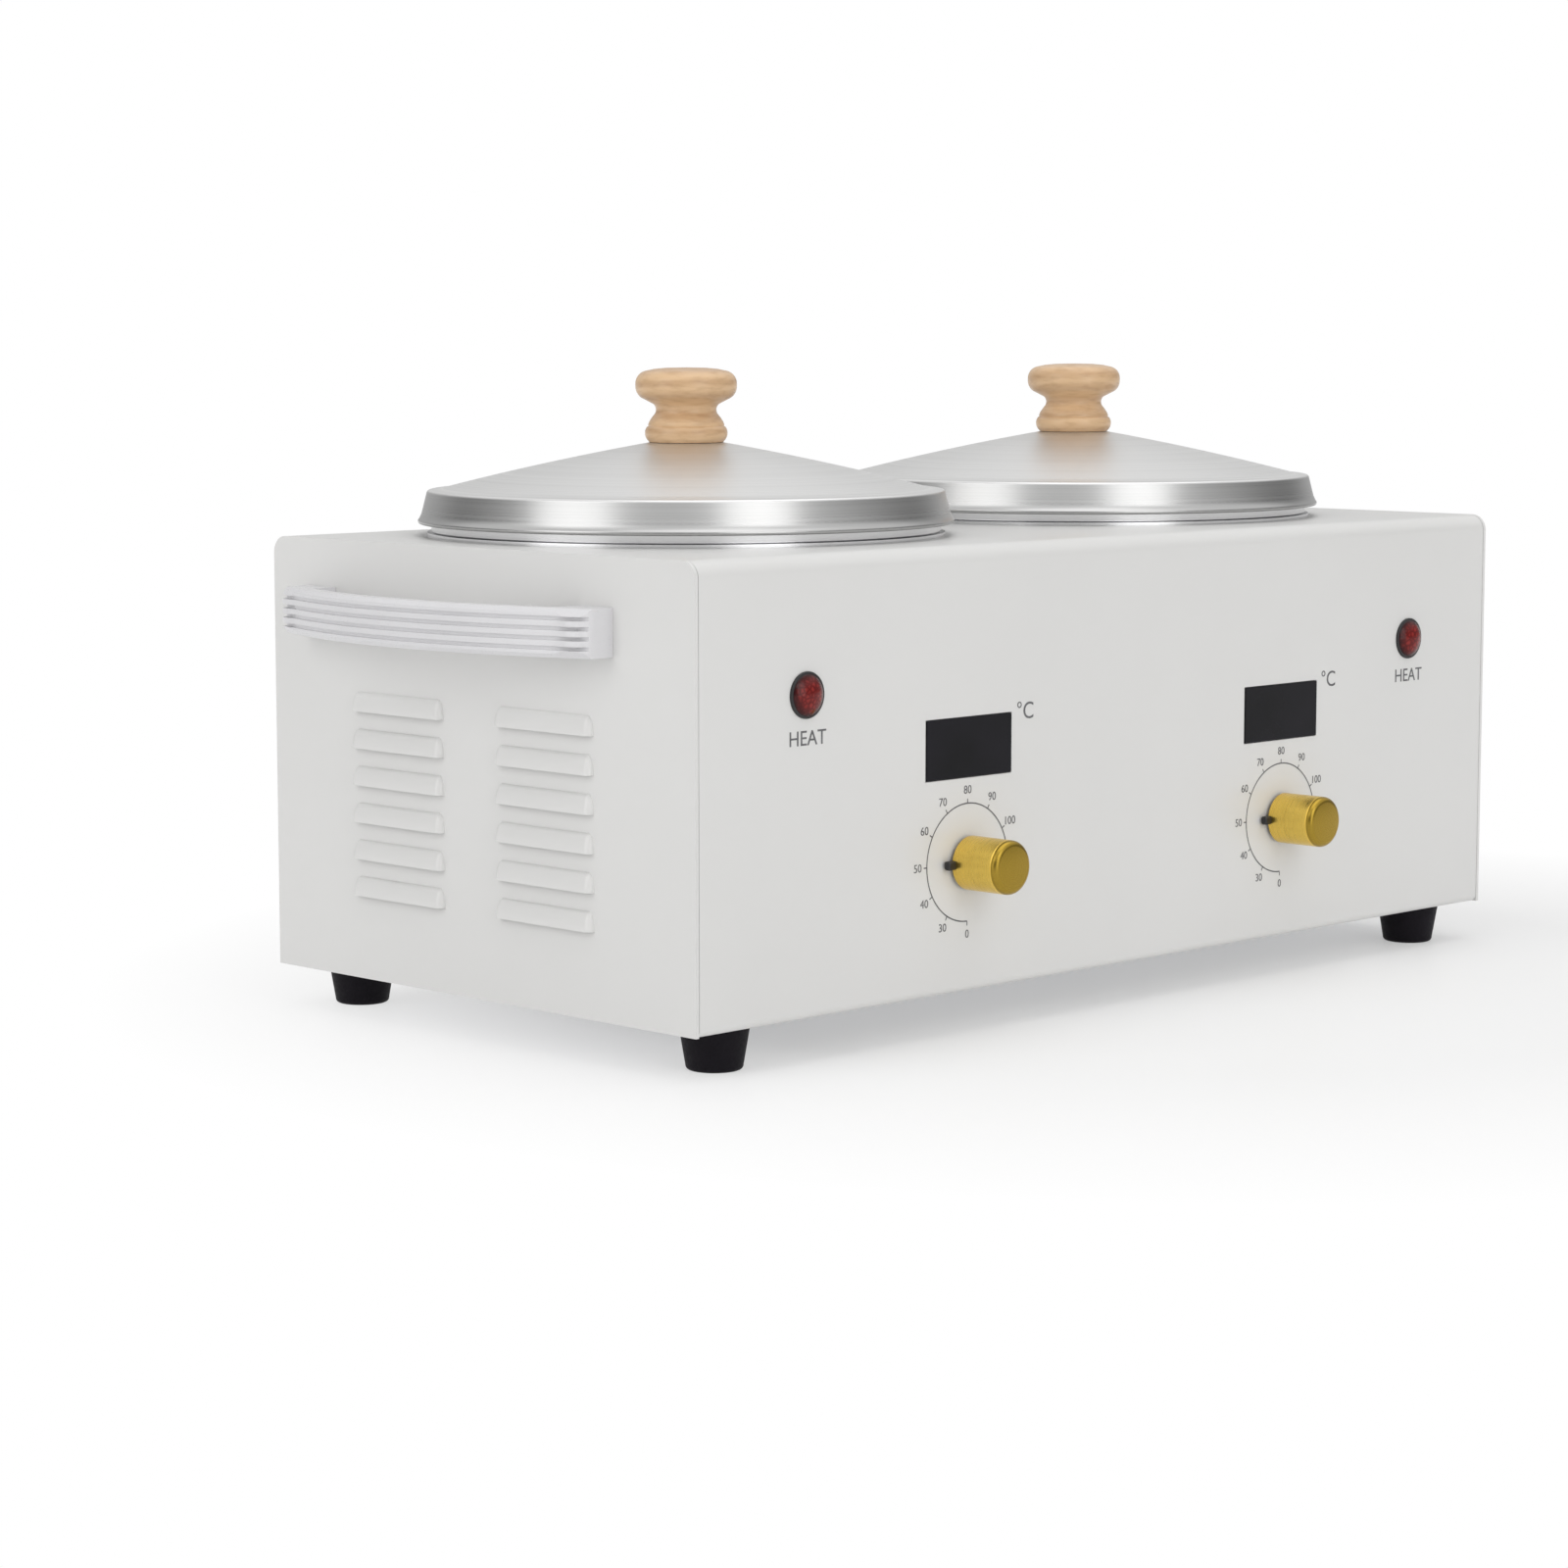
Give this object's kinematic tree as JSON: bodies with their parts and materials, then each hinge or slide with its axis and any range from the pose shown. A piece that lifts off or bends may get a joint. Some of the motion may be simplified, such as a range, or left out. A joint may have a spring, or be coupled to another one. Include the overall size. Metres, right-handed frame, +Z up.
{
  "type": "twin wax warmer pot",
  "caption": "Countertop wax warmer with side by side lidded pots in a white sheet-metal housing, with dials, displays, lamps and carrying handles.",
  "frame": {"origin": "bottom centre of the bounding box, on the plane that the feet rest on", "axes": "+X along the front to the right, +Y from the front panel to the back, +Z up"},
  "size_m": [0.404, 0.2008, 0.1899],
  "materials": {
    "white_paint": "satin powder coat",
    "white_plastic": "moulded, slightly glossy",
    "foot_rubber": "matte moulded rubber",
    "zinc_steel": "zinc plated",
    "spun_aluminium": "spun and polished",
    "brushed_aluminium": "spun, satin brushed in rings",
    "turned_wood": "turned light hardwood, clear satin lacquer",
    "gold_metal": "gold anodised, satin",
    "black_plastic": "moulded",
    "smoked_window": "smoked, polished",
    "red_lens": "clear red, polished",
    "mica": "pressed mica",
    "ceramic_wool": "felted",
    "ceramic": "unglazed",
    "brass": "machined",
    "copper": "drawn",
    "wire_insulation": "smooth sheath"
  },
  "bodies": {
    "root": {"housing_shell": "white_paint", "left_side_panel": "white_paint", "right_side_panel": "white_paint", "base_plate": "zinc_steel", "base_screws": "zinc_steel", "front_left_foot": "foot_rubber", "front_right_foot": "foot_rubber", "rear_left_foot": "foot_rubber", "rear_right_foot": "foot_rubber", "foot_screws": "zinc_steel", "foot_nuts": "zinc_steel", "left_handle": "white_plastic", "right_handle": "white_plastic", "handle_screws": "zinc_steel", "left_heating_well": "spun_aluminium", "right_heating_well": "spun_aluminium", "left_band_heater": "mica", "right_band_heater": "mica", "left_insulation": "ceramic_wool", "right_insulation": "ceramic_wool", "left_thermal_cutout": "ceramic", "right_thermal_cutout": "ceramic", "left_thermostat": "zinc_steel", "right_thermostat": "zinc_steel", "left_thermostat_nut": "brass", "right_thermostat_nut": "brass", "left_sensor": "copper", "right_sensor": "copper", "left_display_lens": "smoked_window", "right_display_lens": "smoked_window", "left_display_case": "black_plastic", "right_display_case": "black_plastic", "left_lamp_lens": "red_lens", "right_lamp_lens": "red_lens", "left_lamp_body": "black_plastic", "right_lamp_body": "black_plastic", "lamp_nuts": "black_plastic", "inlet_housing": "black_plastic", "inlet_pins": "brass", "inlet_screws": "zinc_steel", "terminal_block": "ceramic", "terminal_screws": "brass", "wiring": "wire_insulation"},
    "left_pot": {"left_pot": "spun_aluminium"},
    "right_pot": {"right_pot": "spun_aluminium"},
    "left_lid": {"left_lid": "brushed_aluminium", "left_lid_knob": "turned_wood", "left_lid_screw": "zinc_steel", "left_lid_washer": "zinc_steel"},
    "right_lid": {"right_lid": "brushed_aluminium", "right_lid_knob": "turned_wood", "right_lid_screw": "zinc_steel", "right_lid_washer": "zinc_steel"},
    "left_dial": {"left_dial_cap": "gold_metal", "left_dial_pointer": "black_plastic", "left_dial_shaft": "zinc_steel"},
    "right_dial": {"right_dial_cap": "gold_metal", "right_dial_pointer": "black_plastic", "right_dial_shaft": "zinc_steel"}
  },
  "joints": [
    {"name": "left_pot_lift", "type": "slide", "parent": "root", "child": "left_pot", "axis": [0, 0, 1], "range_m": [0, 0.1]},
    {"name": "left_lid_lift", "type": "slide", "parent": "left_pot", "child": "left_lid", "axis": [0, 0, 1], "range_m": [0, 0.12]},
    {"name": "left_dial_turn", "type": "hinge", "parent": "root", "child": "left_dial", "pos_m": [-0.0725, -0.0826, 0.0499], "axis": [0, 1, 0], "range_deg": [-90, 180]},
    {"name": "right_pot_lift", "type": "slide", "parent": "root", "child": "right_pot", "axis": [0, 0, 1], "range_m": [0, 0.1]},
    {"name": "right_lid_lift", "type": "slide", "parent": "right_pot", "child": "right_lid", "axis": [0, 0, 1], "range_m": [0, 0.12]},
    {"name": "right_dial_turn", "type": "hinge", "parent": "root", "child": "right_dial", "pos_m": [0.0725, -0.0826, 0.0499], "axis": [0, 1, 0], "range_deg": [-90, 180]}
  ]
}
